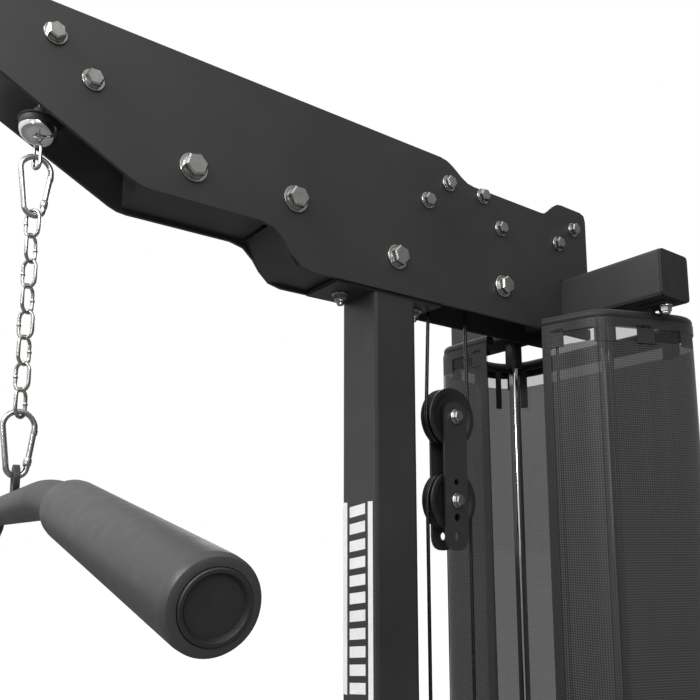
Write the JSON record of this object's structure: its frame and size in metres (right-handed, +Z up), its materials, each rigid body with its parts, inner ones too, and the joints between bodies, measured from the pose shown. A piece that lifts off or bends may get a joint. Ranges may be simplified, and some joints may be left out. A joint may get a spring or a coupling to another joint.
{
  "type": "multi station home gym",
  "caption": "Cable home gym: a plate boom with pulldown bar, floating pulley block and guarded weight stack, seat, press arms and leg developer.",
  "frame": {"origin": "centre of the footprint at floor level", "axes": "+Z up, +X to the machine's left as the seated user faces it from the front, -Y towards the user's side, +Y towards the weight stack"},
  "size_m": [1.0877, 1.411, 2.1],
  "materials": {
    "black_paint": "satin black powder coat",
    "zinc_steel": "bright zinc",
    "chrome_steel": "polished chrome",
    "cast_iron": "black paint over cast iron",
    "pulley_nylon": "moulded black nylon",
    "black_plastic": "fine grained black plastic",
    "rubber": "matte black rubber",
    "foam_rubber": "closed cell foam",
    "coated_cable": "nylon coated steel cable",
    "mesh_fabric": "coated polyester mesh",
    "vinyl": "grained black vinyl"
  },
  "bodies": {
    "root": {"base_rail": "black_paint", "front_foot": "black_paint", "rear_foot": "black_paint", "upright": "black_paint", "boom_plate_right": "black_paint", "boom_plate_left": "black_paint", "boom_floor_front": "black_paint", "boom_floor_rear": "black_paint", "boom_axle_1": "zinc_steel", "boom_axle_2": "zinc_steel", "boom_axle_3": "zinc_steel", "boom_axle_4": "zinc_steel", "rear_beam": "black_paint", "beam_cap_right": "black_plastic", "beam_cap_left": "black_plastic", "guide_rod_right": "chrome_steel", "guide_rod_left": "chrome_steel", "bumper_right": "rubber", "bumper_left": "rubber", "resting_plates": "cast_iron", "shroud": "mesh_fabric", "shroud_hoop_top": "black_paint", "shroud_hoop_bottom": "black_paint", "seat_frame": "black_paint", "back_pad": "vinyl", "lat_cable": "coated_cable", "low_cable": "coated_cable"},
    "stack": {"head_plate": "cast_iron", "lifted_plates": "cast_iron"},
    "selector": {"selector_pin": "zinc_steel"},
    "block": {"block_strap_right": "black_paint", "block_strap_left": "black_paint", "block_axle_upper": "zinc_steel", "block_axle_lower": "zinc_steel"},
    "pulldown": {"ball_stop": "rubber", "snap_hook_upper": "zinc_steel", "chain": "zinc_steel"},
    "bar": {"snap_hook_lower": "zinc_steel", "lat_bar": "black_paint", "bar_grip_right": "rubber", "bar_grip_left": "rubber"},
    "seat": {"seat_carriage": "black_paint", "seat_pad": "vinyl"},
    "lock_knob": {"seat_knob": "black_plastic"},
    "leg_developer": {"leg_lever": "black_paint"},
    "press_arms": {"press_arm": "black_paint"},
    "front_pulley_wheel": {"front_pulley": "pulley_nylon"},
    "second_pulley_wheel": {"second_pulley": "pulley_nylon"},
    "third_pulley_wheel": {"third_pulley": "pulley_nylon"},
    "rear_pulley_wheel": {"rear_pulley": "pulley_nylon"},
    "block_pulley_upper_wheel": {"block_pulley_upper": "pulley_nylon"},
    "block_pulley_lower_wheel": {"block_pulley_lower": "pulley_nylon"},
    "upright_pulley_wheel": {"upright_pulley": "pulley_nylon"},
    "base_pulley_wheel": {"base_pulley": "pulley_nylon"},
    "low_row_pulley_wheel": {"low_row_pulley": "pulley_nylon"},
    "press_pulley_wheel": {"press_pulley": "pulley_nylon"},
    "knee_roller_right_foam": {"knee_roller_right": "foam_rubber"},
    "knee_roller_left_foam": {"knee_roller_left": "foam_rubber"},
    "ankle_roller_right_foam": {"ankle_roller_right": "foam_rubber"},
    "ankle_roller_left_foam": {"ankle_roller_left": "foam_rubber"}
  },
  "joints": [
    {"name": "stack_lift", "type": "slide", "parent": "root", "child": "stack", "axis": [0, 0, 1], "range_m": [0, 0.75], "deforming": ["lat_cable"]},
    {"name": "selector_slide", "type": "slide", "parent": "stack", "child": "selector", "axis": [0, -1, 0], "range_m": [0, 0.06]},
    {"name": "lat_pull", "type": "slide", "parent": "root", "child": "pulldown", "axis": [0, 0, -1], "range_m": [0, 0.75]},
    {"name": "bar_swivel", "type": "hinge", "parent": "pulldown", "child": "bar", "pos_m": [0, -0.2785, 1.6], "axis": [0, 0, 1], "range_deg": [-38, 42]},
    {"name": "leg_swing", "type": "hinge", "parent": "root", "child": "leg_developer", "pos_m": [0, -0.5455, 0.4], "axis": [-1, 0, 0], "range_deg": [0, 95], "deforming": ["low_cable"]},
    {"name": "block_slide", "type": "slide", "parent": "root", "child": "block", "axis": [0, 0, -1], "range_m": [0, 0.25]},
    {"name": "press_swing", "type": "hinge", "parent": "root", "child": "press_arms", "pos_m": [0, -0.1855, 0.14], "axis": [1, 0, 0], "range_deg": [0, 25]},
    {"name": "seat_height", "type": "slide", "parent": "root", "child": "seat", "axis": [0, 0, 1], "range_m": [0, 0.1]},
    {"name": "lock_pull", "type": "slide", "parent": "root", "child": "lock_knob", "axis": [1, 0, 0], "range_m": [0, 0.012], "stiffness_N_per_m": 900, "springref_m": -0.004},
    {"name": "front_pulley_spin", "type": "hinge", "parent": "root", "child": "front_pulley_wheel", "pos_m": [0, -0.2355, 2.025], "axis": [1, 0, 0], "range_deg": [0, 1010]},
    {"name": "second_pulley_spin", "type": "hinge", "parent": "root", "child": "second_pulley_wheel", "pos_m": [0, 0.2535, 2.022], "axis": [1, 0, 0], "range_deg": [0, 1010]},
    {"name": "third_pulley_spin", "type": "hinge", "parent": "root", "child": "third_pulley_wheel", "pos_m": [0, 0.4085, 2.017], "axis": [1, 0, 0], "range_deg": [0, 1010]},
    {"name": "rear_pulley_spin", "type": "hinge", "parent": "root", "child": "rear_pulley_wheel", "pos_m": [0, 0.55, 2.026], "axis": [1, 0, 0], "range_deg": [0, 1010]},
    {"name": "block_pulley_upper_spin", "type": "hinge", "parent": "block", "child": "block_pulley_upper_wheel", "pos_m": [0, 0.326, 1.709], "axis": [1, 0, 0], "range_deg": [-1010, 0]},
    {"name": "block_pulley_lower_spin", "type": "hinge", "parent": "block", "child": "block_pulley_lower_wheel", "pos_m": [0, 0.326, 1.584], "axis": [1, 0, 0], "range_deg": [-320, 0]},
    {"name": "upright_pulley_spin", "type": "hinge", "parent": "root", "child": "upright_pulley_wheel", "pos_m": [0, 0.24, 0.376], "axis": [1, 0, 0], "range_deg": [-185, 0]},
    {"name": "base_pulley_spin", "type": "hinge", "parent": "root", "child": "base_pulley_wheel", "pos_m": [0, 0.326, 0.143], "axis": [1, 0, 0], "range_deg": [-640, 0]},
    {"name": "low_row_pulley_spin", "type": "hinge", "parent": "root", "child": "low_row_pulley_wheel", "pos_m": [0, -0.4255, 0.143], "axis": [1, 0, 0], "range_deg": [-640, 0]},
    {"name": "press_pulley_spin", "type": "hinge", "parent": "press_arms", "child": "press_pulley_wheel", "pos_m": [0, -0.1855, 0.29], "axis": [1, 0, 0], "range_deg": [0, 70]},
    {"name": "knee_roller_right_spin", "type": "hinge", "parent": "root", "child": "knee_roller_right_foam", "pos_m": [0, -0.4955, 0.472], "axis": [1, 0, 0], "continuous": true},
    {"name": "knee_roller_left_spin", "type": "hinge", "parent": "root", "child": "knee_roller_left_foam", "pos_m": [0, -0.4955, 0.472], "axis": [1, 0, 0], "continuous": true},
    {"name": "ankle_roller_right_spin", "type": "hinge", "parent": "leg_developer", "child": "ankle_roller_right_foam", "pos_m": [0, -0.5455, 0.14], "axis": [1, 0, 0], "continuous": true},
    {"name": "ankle_roller_left_spin", "type": "hinge", "parent": "leg_developer", "child": "ankle_roller_left_foam", "pos_m": [0, -0.5455, 0.14], "axis": [1, 0, 0], "continuous": true}
  ],
  "couplings": [
    {"joint": "lat_pull", "follows": "stack_lift", "ratio": 1},
    {"joint": "block_slide", "follows": "leg_swing", "m_per_rad": 0.14},
    {"joint": "front_pulley_spin", "follows": "stack_lift", "rad_per_m": 23.256},
    {"joint": "second_pulley_spin", "follows": "stack_lift", "rad_per_m": 23.256},
    {"joint": "third_pulley_spin", "follows": "stack_lift", "rad_per_m": 23.256},
    {"joint": "rear_pulley_spin", "follows": "stack_lift", "rad_per_m": 23.256},
    {"joint": "block_pulley_upper_spin", "follows": "stack_lift", "rad_per_m": -23.256},
    {"joint": "block_pulley_lower_spin", "follows": "leg_swing", "ratio": -3.2558},
    {"joint": "upright_pulley_spin", "follows": "press_swing", "ratio": -6.9767},
    {"joint": "base_pulley_spin", "follows": "leg_swing", "ratio": -6.5116},
    {"joint": "low_row_pulley_spin", "follows": "leg_swing", "ratio": -6.5116},
    {"joint": "press_pulley_spin", "follows": "press_swing", "ratio": 2.4884}
  ]
}
